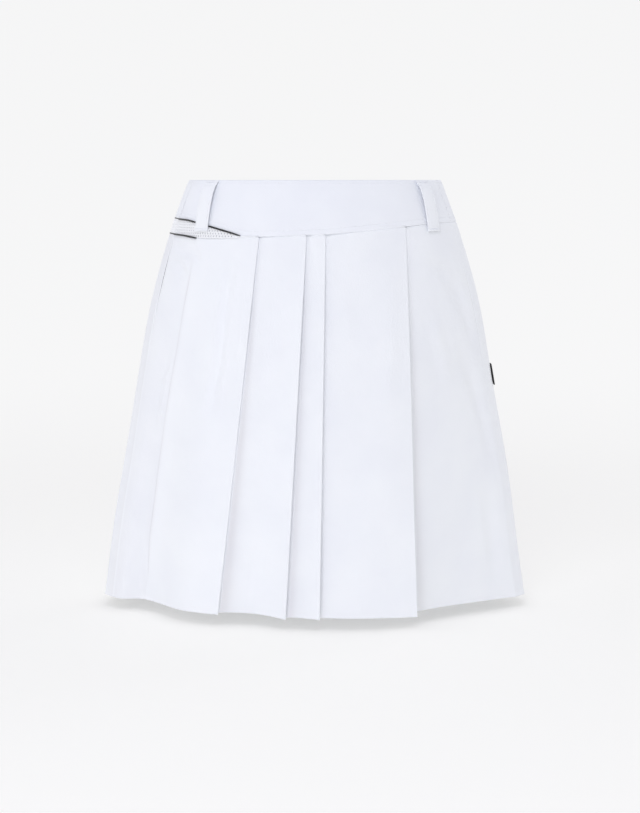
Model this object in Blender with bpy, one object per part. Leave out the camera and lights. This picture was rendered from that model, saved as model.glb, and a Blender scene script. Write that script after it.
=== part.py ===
"""A white pleated golf skirt, hollow and in its worn shape.

Every size in the tables and names below is in millimetres, and the meshes are made in metres, +Z up.
The origin is the middle of the waist opening, level with the waistband's top edge. The front faces -Y,
so "left" and "right" are as an onlooker sees them from the front: left is -X.

A place on the cloth is given by two values: across, from -1 at the left side to +1 at the right side,
and height, from 0 at the waist down to -400 at the hem.
"""

import math
from collections import namedtuple
from functools import lru_cache

import bmesh
import bpy
import numpy as np

MM = 0.001

# Driving sizes
HEM = -400.0            # height of the hem
CLOTH = 1.0             # wall of the skirt panels
BAND = 2.0              # wall of the waistband, which is double and stiffened
TAPE = 1.2              # wall of the mesh tape
TAPE_SET_BACK = 0.2     # the tape lies this far behind the cloth's face
SEAM_GAP = 0.3          # between pieces that are sewn together
FOLD_GAP = 0.4          # between the layers of a pressed pleat at the waist
HEM_FOLD_GAP = 1.2      # and at the hem, where the pleats fall open
SIDE_SEAM = 0.955       # across: the side seams lie a little in front of the widest line
SIDE_SEAM_GAP = 0.12    # degrees round the body from a side seam's middle to a piece's edge
PIPING = 0.9            # radius of the piping
TAPE_END = -0.49        # across, where the mesh tape runs out to a point
LOWER_PIPING_END = -0.785  # across, where the skirt's top edge covers the lower piping

# The body of the skirt, level by level: half width, depth in front of the side line and behind it.
# bow and corner shape the front's plan: 2 and 0.5 give an ellipse, more gives a flat front with
# straight slants to the sides, as a flared skirt has at its hem.
Level = namedtuple("Level", "height side front back bow corner")
LEVELS = (
    Level(0, 120.2, 87.0, 90.0, 2.00, 0.50),
    Level(-45, 137.0, 96.0, 101.0, 2.05, 0.56),
    Level(-100, 153.4, 106.5, 116.0, 2.15, 0.67),
    Level(-200, 172.8, 116.5, 131.0, 2.28, 0.82),
    Level(-300, 189.9, 122.5, 137.0, 2.37, 0.91),
    Level(-400, 204.5, 127.5, 140.0, 2.40, 0.95),
)
BACK_BOW = 2.2

# Where the waistband ends and where the skirt starts. The mesh tape fills the wedge between the two.
Seam = namedtuple("Seam", "across band skirt")
SEAMS = (
    Seam(-1.00, -36.0, -50.2),
    Seam(-0.88, -37.4, -51.6),
    Seam(-0.79, -40.1, -53.6),
    Seam(-0.70, -43.2, -54.1),
    Seam(-0.57, -47.8, -53.8),
    Seam(-0.475, -51.6, -52.9),
    Seam(-0.40, -51.9, -52.3),
    Seam(0.07, -49.8, -50.1),
    Seam(0.56, -43.6, -43.9),
    Seam(0.74, -41.1, -41.4),
    Seam(1.00, -39.1, -39.4),
)

# Knife pleats, left to right: where the fold's edge lies at the top and at the hem, how far it stands
# before the body's curve at the hem, how far the cloth beside it lies behind it there, how wide the
# cloth is folded under, and how far the panel to its right sinks in its middle at the hem.
Pleat = namedtuple("Pleat", "name top hem lift step under dish")
PLEATS = (
    Pleat("A", -50.7, -89.6, -9.0, 25.0, 22.0, 15.0),
    Pleat("B", -7.1, -27.2, 0.0, 15.0, 20.0, 3.0),
    Pleat("C", 10.3, 4.3, 1.0, 12.0, 11.0, 1.0),
    Pleat("D", 85.0, 94.9, 5.0, 29.0, 24.0, 17.0),
)
PANEL_POINTS = (14, 6, 4, 8, 10)
FOLD_STEPS = 6          # straight runs round each fold
RETURN_SHARES = (0.35, 0.7, 1.0)  # where the cloth that is folded under has its points
PLEATS_TOP = -50.0      # the height that the pleats' top column belongs to
STEP_GROWTH = 1.2       # how the pleats open towards the hem
DISH_GROWTH = 1.5

# Soft folds of the front and back, in the same way: place at the top and hem, depth at the hem, and
# reach to the left and right.
Fold = namedtuple("Fold", "top hem depth left right")
FRONT_FOLDS = (
    Fold(-116.0, -163.0, 25.0, 30.0, 46.0),
)
BACK_FOLDS = (
    Fold(-78.0, -118.0, 7.0, 46.0, 50.0),
    Fold(-12.0, -22.0, 4.5, 48.0, 44.0),
    Fold(30.0, 58.0, 6.0, 40.0, 50.0),
    Fold(96.0, 142.0, 7.5, 44.0, 38.0),
)
FOLD_GROWTH = 1.4

# Belt loops: a strip that is sewn down at both ends and stands off the waistband between them.
LOOP_WIDTH = 16.0
LOOP_WALL = 1.6
Stand = namedtuple("Stand", "height off")
LOOP_STANDS = (
    Stand(-0.6, 0.3),
    Stand(-2.5, 1.2),
    Stand(-6.0, 3.0),
    Stand(-14.0, 4.1),
    Stand(-26.0, 4.2),
    Stand(-37.0, 3.6),
    Stand(-42.0, 2.7),
    Stand(-45.0, 1.0),
    Stand(-47.5, 0.3),
)

# A loop's middle, across, at its top and at its foot
Loop = namedtuple("Loop", "name top foot back")
LOOPS = (
    Loop("belt_loop_front_left", -0.785, -0.762, False),
    Loop("belt_loop_front_right", 0.820, 0.802, False),
    Loop("belt_loop_back_left", -0.370, -0.360, True),
    Loop("belt_loop_back_right", 0.370, 0.360, True),
)

# The blank badge on the right side
BADGE_HEIGHT = -186.0
BADGE_TALL = 21.0
BADGE_WIDE = 20.0
BADGE_WALL = 1.0
BADGE_TURN = 1.5        # degrees from the widest line towards the back, to the badge's middle

# Colours, roughness
WHITE_CLOTH = ("white stretch twill", (0.86, 0.875, 0.905), 0.75)
WHITE_MESH = ("white mesh tape", (0.72, 0.73, 0.75), 0.8)
BLACK_PIPING = ("black satin piping", (0.012, 0.012, 0.013), 0.45)
BLACK_BADGE = ("black soft badge", (0.015, 0.015, 0.017), 0.55)


# Reading the tables

def smooth_value(places, values, at):
    """A smooth curve through a table's column, held level past its ends."""
    places = np.asarray(places, float)
    values = np.asarray(values, float)
    if places[0] > places[-1]:
        places, values = places[::-1], values[::-1]
    slopes = np.gradient(values, places)
    at = min(max(at, places[0]), places[-1])
    i = min(int(np.searchsorted(places, at, side="right")) - 1, len(places) - 2)
    run = places[i + 1] - places[i]
    t = (at - places[i]) / run
    return float(
        values[i] * (2 * t**3 - 3 * t**2 + 1)
        + slopes[i] * run * (t**3 - 2 * t**2 + t)
        + values[i + 1] * (3 * t**2 - 2 * t**3)
        + slopes[i + 1] * run * (t**3 - t**2)
    )


@lru_cache(maxsize=None)
def level_at(height):
    """The body's level at any height between the table's rows."""
    heights = [row.height for row in LEVELS]
    read = [
        smooth_value(heights, [getattr(row, column) for row in LEVELS], height)
        for column in Level._fields[1:]
    ]
    return Level(height, *read)


def seam_at(across, column):
    """Height of the waistband's lower edge or the skirt's top edge at a place across."""
    places = [row.across for row in SEAMS]
    return float(np.interp(across, places, [getattr(row, column) for row in SEAMS]))


def down(height):
    """0 at the top of the pleats, 1 at the hem."""
    return min(max((PLEATS_TOP - height) / (PLEATS_TOP - HEM), 0.0), 1.0)


# Plan curves: points are (x, depth), with depth towards the onlooker

def body_point(angle, height):
    """The body's outline in plan: angle 0 is the front's middle, 90 the right side, 180 the back."""
    level = level_at(height)
    across = math.sin(math.radians(angle))
    x = level.side * across
    if math.cos(math.radians(angle)) > 0:
        depth = level.front * (1 - abs(across) ** level.bow) ** level.corner
    else:
        depth = -level.back * max(1 - abs(across) ** BACK_BOW, 0.0) ** 0.5
        depth += sum(fold_depth(fold, x, height) for fold in BACK_FOLDS) * abs(depth) / level.back
    return np.array([x, depth])


def angle_of(across, back=False):
    """The angle of a place across the front or the back."""
    angle = math.degrees(math.asin(across))
    return 180 - angle if back else angle


def fold_depth(fold, x, height):
    """How far a soft fold sinks at x."""
    t = down(height)
    away = x - (fold.top + (fold.hem - fold.top) * t)
    share = min(abs(away) / (fold.left if away < 0 else fold.right), 1.0)
    return fold.depth * t**FOLD_GROWTH * math.cos(share * math.pi / 2) ** 2


def pleat_x(pleat, height):
    """Where a pleat's edge lies at a height."""
    return pleat.top + (pleat.hem - pleat.top) * down(height)


def layer_spacing(height):
    """From the middle of one layer of a pleat to the middle of the next."""
    return CLOTH + FOLD_GAP + (HEM_FOLD_GAP - FOLD_GAP) * down(height)


def step_behind(pleat, height):
    """How far the cloth beside a pleat's edge lies behind it."""
    pressed = 2 * layer_spacing(height) + 0.1
    return pressed + (pleat.step - pressed) * down(height) ** STEP_GROWTH


def panel_ends(number, height):
    """The x of a panel's left and right end: a pleat's edge, or a side seam."""
    side = SIDE_SEAM * level_at(height).side - SEAM_GAP / 2
    left = pleat_x(PLEATS[number - 1], height) if number else -side
    right = pleat_x(PLEATS[number], height) if number < len(PLEATS) else side
    return left, right


def panel_point(number, x, height):
    """A point on the outside of one panel of the front, between or beside the pleats."""
    level = level_at(height)
    t = down(height)
    left, right = panel_ends(number, height)
    along = (x - left) / (right - left)
    depth = level.front * (1 - min(abs(x / level.side), 1) ** level.bow) ** level.corner
    if number:
        before = PLEATS[number - 1]
        depth -= step_behind(before, height) * (1 - along)
        depth -= before.dish * t**DISH_GROWTH * 4 * along * (1 - along)
    if number < len(PLEATS):
        depth += PLEATS[number].lift * t * along
    depth -= sum(fold_depth(fold, x, height) for fold in FRONT_FOLDS)
    return np.array([x, depth])


def panel_normal(number, x, height):
    """The outward direction of a panel in plan."""
    run = panel_point(number, x + 0.5, height) - panel_point(number, x - 0.5, height)
    return np.array([-run[1], run[0]]) / np.linalg.norm(run)


def arc(centre, start, turn, steps):
    """Points round a centre from one of them, turning by an angle, without the first."""
    points = []
    for i in range(1, steps + 1):
        c = math.cos(turn * i / steps)
        s = math.sin(turn * i / steps)
        points.append(centre + np.array([c * start[0] - s * start[1], s * start[0] + c * start[1]]))
    return points


def pleat_fold(number, height):
    """The middle of the cloth from a pleat's edge, back under its panel, and out again beside it."""
    spacing = layer_spacing(height)
    radius = spacing / 2
    edge = pleat_x(PLEATS[number], height)
    out = edge - radius - CLOTH / 2
    inner = out - PLEATS[number].under
    normal = panel_normal(number, out, height)
    first = panel_point(number, out, height) - normal * CLOTH / 2
    points = arc(first - normal * radius, normal * radius, -math.pi, FOLD_STEPS)
    for share in RETURN_SHARES:
        x = out + (inner - out) * share
        normal = panel_normal(number, x, height)
        points.append(panel_point(number, x, height) - normal * (CLOTH / 2 + spacing))
    centre = points[-1] - normal * radius
    goal = panel_point(number + 1, edge, height)
    goal = goal - panel_normal(number + 1, edge, height) * CLOTH / 2
    to_goal = goal - centre
    heading = math.atan2(to_goal[1], to_goal[0]) + math.asin(radius / np.linalg.norm(to_goal))
    from_heading = math.atan2(normal[1], normal[0]) + math.pi / 2
    turn = (heading - from_heading) % (2 * math.pi)
    return points + arc(centre, normal * radius, turn, FOLD_STEPS)


def front_path(height):
    """The middle of the front's cloth in plan, from the left side seam to the right one."""
    points = []
    for number, count in enumerate(PANEL_POINTS):
        left, right = panel_ends(number, height)
        if number < len(PLEATS):
            right -= layer_spacing(height) / 2 + CLOTH / 2
        for i in range(count):
            x = left + (right - left) * i / (count - 1)
            points.append(panel_point(number, x, height) - panel_normal(number, x, height) * CLOTH / 2)
        if number < len(PLEATS):
            points += pleat_fold(number, height)
    return np.array(points)


# Making solids

def plan_normals(path):
    """At each point of a plan path, the sideways step that keeps a wall's thickness round its corners."""
    runs = np.diff(path, axis=0)
    runs /= np.linalg.norm(runs, axis=1)[:, None]
    sides = np.stack([-runs[:, 1], runs[:, 0]], axis=1)
    ends = 1.5 * sides[[0, -1]] - 0.5 * sides[[1, -2]]
    ends /= np.linalg.norm(ends, axis=1)[:, None]
    middle = sides[:-1] + sides[1:]
    middle /= np.linalg.norm(middle, axis=1)[:, None]
    middle /= np.maximum((middle * sides[:-1]).sum(axis=1), 0.5)[:, None]
    return np.vstack([ends[:1], middle, ends[1:]])


def wall(name, rows, outer, inner, finish):
    """A closed wall through rows of (x, depth, height) points, from an outer to an inner offset."""
    bm = bmesh.new()
    skins = []
    for offset in (outer, inner):
        grid = []
        for row in rows:
            moved = row[:, :2] + plan_normals(row[:, :2]) * offset
            grid.append([
                bm.verts.new((x * MM, -depth * MM, height * MM))
                for (x, depth), height in zip(moved, row[:, 2])
            ])
        skins.append(grid)
    outside, inside = skins
    last_row = len(rows) - 1
    last = len(rows[0]) - 1
    for i in range(last_row):
        for j in range(last):
            bm.faces.new((outside[i][j], outside[i + 1][j], outside[i + 1][j + 1], outside[i][j + 1]))
            bm.faces.new((inside[i][j], inside[i][j + 1], inside[i + 1][j + 1], inside[i + 1][j]))
    for j in range(last):
        bm.faces.new((outside[0][j], outside[0][j + 1], inside[0][j + 1], inside[0][j]))
        bm.faces.new((
            outside[last_row][j], inside[last_row][j],
            inside[last_row][j + 1], outside[last_row][j + 1],
        ))
    for i in range(last_row):
        bm.faces.new((outside[i][0], inside[i][0], inside[i + 1][0], outside[i + 1][0]))
        bm.faces.new((outside[i][last], outside[i + 1][last], inside[i + 1][last], inside[i][last]))
    return finished(name, bm, finish)


def tube(name, points, radius, finish, sides=6):
    """A closed round cord through points (x, depth, height)."""
    bm = bmesh.new()
    points = np.array([(x, -depth, height) for x, depth, height in points])
    runs = np.gradient(points, axis=0)
    rings = []
    for point, run in zip(points, runs):
        run = run / np.linalg.norm(run)
        across = np.cross((0, 0, 1), run)
        across /= np.linalg.norm(across)
        up = np.cross(run, across)
        ring = []
        for k in range(sides):
            turn = 2 * math.pi * k / sides
            place = point + radius * (math.cos(turn) * across + math.sin(turn) * up)
            ring.append(bm.verts.new(place * MM))
        rings.append(ring)
    for near, far in zip(rings, rings[1:]):
        for k in range(sides):
            n = (k + 1) % sides
            bm.faces.new((near[k], near[n], far[n], far[k]))
    bm.faces.new(rings[0][::-1])
    bm.faces.new(rings[-1])
    return finished(name, bm, finish)


def material_for(finish):
    """The Principled material of a finish, made once."""
    label, colour, roughness = finish
    found = bpy.data.materials.get(label)
    if found:
        return found
    made = bpy.data.materials.new(label)
    made.use_nodes = True
    shader = made.node_tree.nodes["Principled BSDF"]
    shader.inputs["Base Color"].default_value = (*colour, 1)
    shader.inputs["Roughness"].default_value = roughness
    shader.inputs["Metallic"].default_value = 0.0
    return made


def finished(name, bm, finish):
    """The object of a bmesh, with quads split the same way on both sides of a wall."""
    bmesh.ops.triangulate(bm, faces=bm.faces[:], quad_method="FIXED")
    mesh = bpy.data.meshes.new(name)
    bm.to_mesh(mesh)
    bm.free()
    mesh.materials.append(material_for(finish))
    made = bpy.data.objects.new(name, mesh)
    bpy.context.scene.collection.objects.link(made)
    return made


def band_rows(angles, top_of, bottom_of, shares):
    """Rows round the body between two heights, each of which is a function of the place across."""
    rows = []
    for share in shares:
        row = []
        for angle in angles:
            across = math.sin(math.radians(angle))
            height = top_of(across) + (bottom_of(across) - top_of(across)) * share
            row.append((*body_point(angle, height), height))
        rows.append(np.array(row))
    return rows


def spread(first, last, count):
    return np.linspace(first, last, count)


def front_and_back_edges():
    """The angles of the front piece's right edge and of the back piece's, beside the side seam."""
    seam = angle_of(SIDE_SEAM)
    return seam - SIDE_SEAM_GAP, seam + SIDE_SEAM_GAP


# The pieces

def make_waistband():
    front, back = front_and_back_edges()
    halves = (
        ("waistband_front", spread(-front, front, 33)),
        ("waistband_back", spread(back, 360 - back, 37)),
    )
    for name, angles in halves:
        rows = band_rows(angles, lambda a: 0.0, lambda a: seam_at(a, "band"), spread(0, 1, 4))
        wall(name, rows, 0.0, -BAND, WHITE_CLOTH)


def make_mesh_tape():
    front, back = front_and_back_edges()
    end = angle_of(TAPE_END)
    halves = (
        ("mesh_tape_front", spread(-front, end, 13)),
        ("mesh_tape_back", spread(180 - end, 360 - back, 17)),
    )
    for name, angles in halves:
        rows = band_rows(
            angles,
            lambda a: seam_at(a, "band") - SEAM_GAP,
            lambda a: seam_at(a, "skirt") + SEAM_GAP,
            spread(0, 1, 3),
        )
        wall(name, rows, -TAPE_SET_BACK, -TAPE_SET_BACK - TAPE, WHITE_MESH)


def piping_points(angles, column):
    """Points just outside the seam that a piping covers."""
    row = []
    for angle in angles:
        height = seam_at(math.sin(math.radians(angle)), column)
        row.append((*body_point(angle, height), height))
    row = np.array(row)
    row[:, :2] += plan_normals(row[:, :2]) * (PIPING + SEAM_GAP)
    return row


def make_pipings():
    front, back = front_and_back_edges()
    for part, column, end in (("upper", "band", TAPE_END), ("lower", "skirt", LOWER_PIPING_END)):
        last = angle_of(end)
        halves = (("front", spread(-front, last, 14)), ("back", spread(180 - last, 360 - back, 16)))
        for half, angles in halves:
            tube(f"piping_{part}_{half}", piping_points(angles, column), PIPING, BLACK_PIPING)


def make_skirt_front():
    top_path = front_path(PLEATS_TOP)
    tops = [seam_at(x / level_at(PLEATS_TOP).side, "skirt") for x, _ in top_path]
    rows = []
    for share in spread(0, 1, 14):
        heights = [top + (HEM - top) * share for top in tops]
        row = [(*front_path(height)[j], height) for j, height in enumerate(heights)]
        rows.append(np.array(row))
    wall("skirt_front", rows, CLOTH / 2, -CLOTH / 2, WHITE_CLOTH)


def make_skirt_back():
    back = front_and_back_edges()[1]
    rows = band_rows(
        spread(back, 360 - back, 45),
        lambda a: seam_at(a, "skirt"),
        lambda a: HEM,
        spread(0, 1, 13),
    )
    wall("skirt_back", rows, 0.0, -CLOTH, WHITE_CLOTH)


def make_belt_loops():
    foot = LOOP_STANDS[-1].height
    for loop in LOOPS:
        rows = []
        for stand in LOOP_STANDS:
            across = loop.top + (loop.foot - loop.top) * stand.height / foot
            middle = angle_of(across, loop.back)
            centre = body_point(middle, stand.height)
            beside = body_point(middle + 1, stand.height)
            degrees = LOOP_WIDTH / 2 / np.linalg.norm(beside - centre)
            row = [
                (*body_point(angle, stand.height), stand.height)
                for angle in spread(middle - degrees, middle + degrees, 4)
            ]
            row = np.array(row)
            row[:, :2] += plan_normals(row[:, :2]) * (stand.off + LOOP_WALL / 2)
            rows.append(row)
        wall(loop.name, rows, LOOP_WALL / 2, -LOOP_WALL / 2, WHITE_CLOTH)


def make_side_badge():
    middle = 90 + BADGE_TURN
    rows = []
    for v in np.sin(np.radians(spread(78, -78, 9))):
        height = BADGE_HEIGHT + v * BADGE_TALL / 2
        half = BADGE_WIDE / 2 * (1 - abs(v) ** 3) ** (1 / 3)
        beside = body_point(middle + 3, height) - body_point(middle - 3, height)
        degrees = half / (np.linalg.norm(beside) / 6)
        row = [
            (*body_point(angle, height), height)
            for angle in spread(middle - degrees, middle + degrees, 6)
        ]
        rows.append(np.array(row))
    wall("side_badge", rows, SEAM_GAP + BADGE_WALL, SEAM_GAP, BLACK_BADGE)


def main():
    for old in list(bpy.data.objects):
        bpy.data.objects.remove(old)
    make_waistband()
    make_mesh_tape()
    make_pipings()
    make_skirt_front()
    make_skirt_back()
    make_belt_loops()
    make_side_badge()


main()
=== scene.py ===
# %% [markdown]
# # A white pleated golf skirt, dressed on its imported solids
#
# The CAD gives fifteen plain walls. This lesson puts real cloth over them: thin folded shells, a knitted
# mesh wedge with holes, cord piping, sewn belt loops and thread, each on the form of the solid it
# replaces. Sizes are in millimetres and the meshes are in metres. The front faces -Y, and a place on the
# cloth is a point (x, depth) in plan, where depth is -y, with a height.

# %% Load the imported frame
import math
from collections import namedtuple

import bmesh
import bpy
import numpy as np
from mathutils import Matrix, Vector


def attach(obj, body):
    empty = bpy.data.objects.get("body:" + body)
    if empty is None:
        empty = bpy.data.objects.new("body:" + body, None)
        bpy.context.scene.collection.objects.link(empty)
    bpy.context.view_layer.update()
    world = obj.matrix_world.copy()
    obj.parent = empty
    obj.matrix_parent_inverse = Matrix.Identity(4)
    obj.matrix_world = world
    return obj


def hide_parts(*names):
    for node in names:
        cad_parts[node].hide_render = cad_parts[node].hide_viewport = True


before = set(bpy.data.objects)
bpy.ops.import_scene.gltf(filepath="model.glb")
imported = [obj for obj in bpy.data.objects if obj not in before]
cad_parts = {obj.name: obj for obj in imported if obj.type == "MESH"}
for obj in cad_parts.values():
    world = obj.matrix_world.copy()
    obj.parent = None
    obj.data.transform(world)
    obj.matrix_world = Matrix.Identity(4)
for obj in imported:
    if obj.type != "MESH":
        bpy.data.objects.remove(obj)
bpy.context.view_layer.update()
print("nodes:", len(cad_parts))

MM = 0.001

# %% [markdown]
# ## The camera
#
# The picture was taken from the height of the waist, because the waistband's top edge is a straight line
# in it. The camera stands 2.1 m away there and looks a little down, so that the hem curves. It has no
# shift, and every other view keeps its lens.

# %% Camera
EYE = (4.8, -2100.0, 0.0)
LOOKS_DOWN = 5.905          # degrees
FOCAL = 96.97               # mm on a 36 mm frame

camera_data = bpy.data.cameras.new("camera")
camera_data.lens = FOCAL
camera_data.sensor_width = 36
camera_data.clip_end = 30
camera = bpy.data.objects.new("camera", camera_data)
camera.location = [value * MM for value in EYE]
camera.rotation_euler = (math.radians(90 - LOOKS_DOWN), 0, 0)
bpy.context.scene.collection.objects.link(camera)
bpy.context.scene.camera = camera
print("camera at", [round(v, 3) for v in camera.location])

# %% [markdown]
# ## Colours and nodes
#
# A colour is written as the hex value that a picture editor shows, and one function turns it into the
# linear values that Blender's shaders work with. A second small function adds a node, sets it and wires
# it. These two are all that the materials below need.

# %% Colour and node helpers
def linear(code):
    """The linear colour of an sRGB hex code such as #F2F4F8."""
    values = [int(code[i:i + 2], 16) / 255 for i in (1, 3, 5)]
    return tuple(v / 12.92 if v <= 0.04045 else ((v + 0.055) / 1.055) ** 2.4 for v in values) + (1.0,)


def add(tree, kind, inputs=None, **settings):
    """Adds a node with its settings. An input is a value, or another node's socket to link from."""
    node = tree.nodes.new(kind)
    for name, value in settings.items():
        setattr(node, name, value)
    for name, value in (inputs or {}).items():
        if isinstance(value, bpy.types.NodeSocket):
            tree.links.new(value, node.inputs[name])
        else:
            node.inputs[name].default_value = value
    return node


def new_material(name):
    """An empty material, with its node tree and its output node."""
    material = bpy.data.materials.new(name)
    material.use_nodes = True
    material.node_tree.nodes.clear()
    return material, material.node_tree, add(material.node_tree, "ShaderNodeOutputMaterial")


# %% [markdown]
# ## White stretch twill
#
# The skirt is cut from a firm polyester and elastane twill, piece-dyed bright white. A twill's threads
# step sideways row by row, so the cloth has fine slanting ribs. The real ribs are about 0.5 mm apart, which
# is half a pixel here, so they are drawn at 1.3 mm and very low. The pattern reads the cloth's own UV map,
# which is in metres along the cloth, so that the ribs follow each panel round its folds. Slow noise gives
# the cloth's faint unevenness where it was pressed. The cloth also carries an attribute named shade, from
# 0 to 1: how much of a seam's or a fold's shade is painted into each place's base colour.

# %% Twill material
RIB = 1.3 * MM
RIB_ANGLE = math.radians(58)
# A wave texture runs through 20 radians in a unit, so this scale gives one rib in each.
WAVE_SCALE = 0.05 * 2 * math.pi


def twill(name, code, lighter, rib_height):
    material, tree, output = new_material(name)
    uv = add(tree, "ShaderNodeUVMap", uv_map="cloth")
    turned = add(tree, "ShaderNodeMapping", {
        "Vector": uv.outputs["UV"],
        "Rotation": (0, 0, RIB_ANGLE),
        "Scale": (1 / RIB, 1 / RIB, 1),
    })
    ribs = add(tree, "ShaderNodeTexWave", {
        "Vector": turned.outputs["Vector"], "Scale": WAVE_SCALE, "Distortion": 0.6, "Detail": 1.0,
    }, wave_profile="SIN")
    uneven = add(tree, "ShaderNodeTexNoise", {
        "Vector": uv.outputs["UV"], "Scale": 22.0, "Detail": 3.0, "Roughness": 0.45,
    })
    tint = add(tree, "ShaderNodeValToRGB", {"Fac": uneven.outputs["Fac"]})
    tint.color_ramp.elements[0].position = 0.35
    tint.color_ramp.elements[0].color = linear(code)
    tint.color_ramp.elements[1].position = 0.65
    tint.color_ramp.elements[1].color = linear(lighter)
    # Painted shade: soft light hides the thin shading of white cloth, so its folds and seams are painted
    # greyer.
    shade = add(tree, "ShaderNodeAttribute", attribute_name="shade")
    painted_shade_ramp = add(tree, "ShaderNodeValToRGB", {"Fac": shade.outputs["Fac"]})
    painted_shade_ramp.color_ramp.elements[0].color = linear("#FFFFFF")
    painted_shade_ramp.color_ramp.elements[1].color = linear("#56545C")
    painted_shade_ramp.color_ramp.elements.new(0.3).color = linear("#F0EEEE")
    colour = add(tree, "ShaderNodeVectorMath", {
        0: tint.outputs["Color"], 1: painted_shade_ramp.outputs["Color"],
    }, operation="MULTIPLY")
    pressed = add(tree, "ShaderNodeBump", {
        "Strength": 0.3, "Distance": 0.0006, "Height": uneven.outputs["Fac"],
    })
    bump = add(tree, "ShaderNodeBump", {
        "Strength": rib_height, "Distance": 0.0001, "Height": ribs.outputs["Fac"],
        "Normal": pressed.outputs["Normal"],
    })
    shader = add(tree, "ShaderNodeBsdfPrincipled", {
        "Base Color": colour.outputs["Vector"], "Roughness": 0.72, "Specular IOR Level": 0.3,
        "Sheen Weight": 0.1, "Sheen Roughness": 0.5, "Normal": bump.outputs["Normal"],
    })
    tree.links.new(shader.outputs["BSDF"], output.inputs["Surface"])
    return material


skirt_twill = twill("white stretch twill", "#F5F7FB", "#F8FAFD", 0.5)
band_twill = twill("white stiffened twill", "#F4F6FB", "#F7F9FD", 0.4)
loop_twill = twill("white folded twill strip", "#F5F7FB", "#F8FAFD", 0.4)
print("twills made")

# %% [markdown]
# ## Knitted mesh, piping, thread and badge
#
# The wedge is a warp-knitted polyester mesh. Its holes are real holes in the geometry below, so its
# material is only the yarn: off-white, a little grey from the shade between its threads. The piping is
# a filled satin cord in black, smooth with a soft long highlight. The sewing thread is spun polyester.
# The badge is a soft moulded rubber tab, matte and blank.

# %% Smaller materials
def plain_fabric(name, code, darker, roughness, scale, strength, sheen):
    """A yarn or moulded surface with fine grain from noise in Object coordinates."""
    material, tree, output = new_material(name)
    place = add(tree, "ShaderNodeTexCoord")
    grain = add(tree, "ShaderNodeTexNoise", {
        "Vector": place.outputs["Object"], "Scale": scale, "Detail": 2.0, "Roughness": 0.6,
    })
    ramp = add(tree, "ShaderNodeValToRGB", {"Fac": grain.outputs["Fac"]})
    ramp.color_ramp.elements[0].position = 0.3
    ramp.color_ramp.elements[0].color = linear(darker)
    ramp.color_ramp.elements[1].position = 0.7
    ramp.color_ramp.elements[1].color = linear(code)
    bump = add(tree, "ShaderNodeBump", {
        "Strength": strength, "Distance": 0.0002, "Height": grain.outputs["Fac"],
    })
    shader = add(tree, "ShaderNodeBsdfPrincipled", {
        "Base Color": ramp.outputs["Color"], "Roughness": roughness,
        "Sheen Weight": sheen, "Sheen Roughness": 0.4, "Normal": bump.outputs["Normal"],
    })
    tree.links.new(shader.outputs["BSDF"], output.inputs["Surface"])
    return material


mesh_knit = plain_fabric("white knitted mesh", "#FCFDFE", "#F8F9FB", 0.8, 900.0, 0.5, 0.1)
# The lining is greyer than the yarn, which paints the shade inside the mesh's holes.
lining_knit = plain_fabric("pale lining", "#E2E3E8", "#DBDCE2", 0.8, 700.0, 0.3, 0.1)
satin_cord = plain_fabric("black satin piping", "#141416", "#0B0B0D", 0.42, 1400.0, 0.3, 0.2)
thread = plain_fabric("white sewing thread", "#F6F8FB", "#ECEEF2", 0.6, 2500.0, 0.3, 0.1)
soft_badge = plain_fabric("black soft badge", "#17171A", "#101012", 0.55, 1800.0, 0.25, 0.0)
print("materials:", len(bpy.data.materials))

# %% [markdown]
# ## The stage
#
# A pale seamless bowl goes all round the skirt. It is the profile of a floor that curves up into a wall,
# spun once round. Near the skirt its paper takes light and shade, so that a soft shade lies under the hem.
# Farther out it mostly glows by itself, which keeps it as even and bright as a studio sweep. Its front,
# which stands behind the camera, glows little, because a bright wall there would make the light flat.

# %% Stage
FLOOR = -411.8          # a little under the hem, so that a soft shade shows there
BOWL_FLAT = 900.0       # the floor is flat as far as this
BOWL_OUT = 6200.0       # and has curved up to the wall here
BOWL_UP = 4200.0
NEAR, FAR = 0.6, 2.0    # metres from the skirt's middle between which the paper changes
NEAR_PAPER, FAR_PAPER = "#DAD9D4", "#595959"    # a touch warm, since the lamps are cool
NEAR_GLOW, FAR_GLOW = "#9E9E9E", "#EDEDED"
FRONT_DARK, FRONT_LIT = -3.2, -0.8      # metres along Y between which the front's glow is cut
FRONT_GLOW = 0.2        # to this share


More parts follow.
